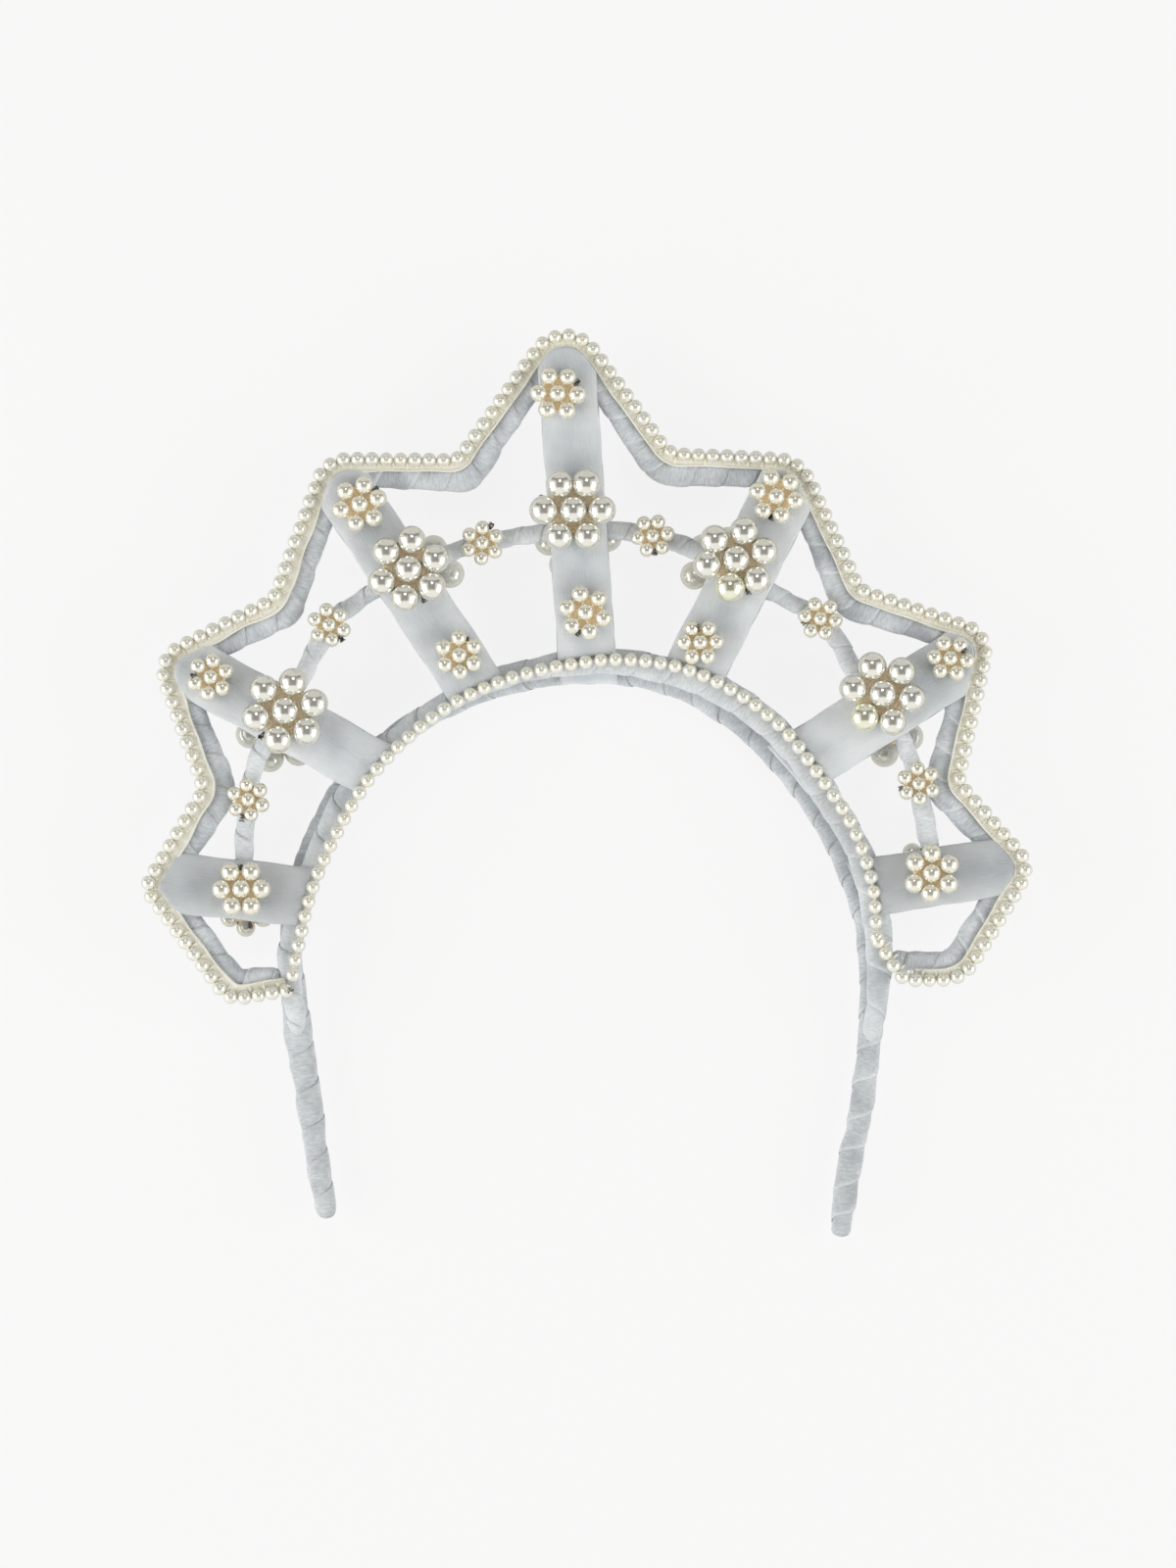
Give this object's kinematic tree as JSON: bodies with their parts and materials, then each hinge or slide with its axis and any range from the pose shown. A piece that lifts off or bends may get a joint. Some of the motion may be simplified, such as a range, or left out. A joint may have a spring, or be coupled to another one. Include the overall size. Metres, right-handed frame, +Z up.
{
  "type": "beaded headband",
  "caption": "Sunburst headband of ribbon-wound wire: an arched hair band with legs, ribbon rays, a zigzag rim edged in small pearls, and pearl flowers.",
  "frame": {"origin": "on the floor under the middle of the headband's outline; the headband lies on its back, on its rear flowers", "axes": "+X to the wearer's left, seen from the front as right; +Y from the legs to the top point; +Z up, out of the front"},
  "size_m": [0.241, 0.2467, 0.027],
  "materials": {
    "ribbon": "soft matt velvet ribbon, cool white",
    "wound_ribbon": "white velvet ribbon wound round wire",
    "tape": "cream woven tape",
    "pearl": "ivory imitation pearl"
  },
  "bodies": {
    "root": {"arch_band": "wound_ribbon", "arch_pearls": "pearl", "cross_wire": "wound_ribbon", "flower_back_1": "pearl", "flower_back_2": "pearl", "flower_back_3": "pearl", "flower_back_4": "pearl", "flower_back_5": "pearl", "flower_back_6": "pearl", "flower_back_7": "pearl", "flower_big_1": "pearl", "flower_big_2": "pearl", "flower_big_3": "pearl", "flower_big_4": "pearl", "flower_big_5": "pearl", "flower_foot_1": "pearl", "flower_foot_2": "pearl", "flower_foot_3": "pearl", "flower_low_1": "pearl", "flower_low_2": "pearl", "flower_tip_1": "pearl", "flower_tip_2": "pearl", "flower_tip_3": "pearl", "flower_tip_4": "pearl", "flower_tip_5": "pearl", "flower_wire_1": "pearl", "flower_wire_2": "pearl", "flower_wire_3": "pearl", "flower_wire_4": "pearl", "flower_wire_5": "pearl", "flower_wire_6": "pearl", "headband": "wound_ribbon", "ray_front_1": "ribbon", "ray_front_2": "ribbon", "ray_front_3": "ribbon", "ray_front_4": "ribbon", "ray_front_5": "ribbon", "ray_front_6": "ribbon", "ray_front_7": "ribbon", "ray_rear_1": "ribbon", "ray_rear_2": "ribbon", "ray_rear_3": "ribbon", "ray_rear_4": "ribbon", "ray_rear_5": "ribbon", "ray_rear_6": "ribbon", "ray_rear_7": "ribbon", "rim_pearls": "pearl", "rim_tape": "tape", "rim_wire": "wound_ribbon"}
  },
  "joints": []
}
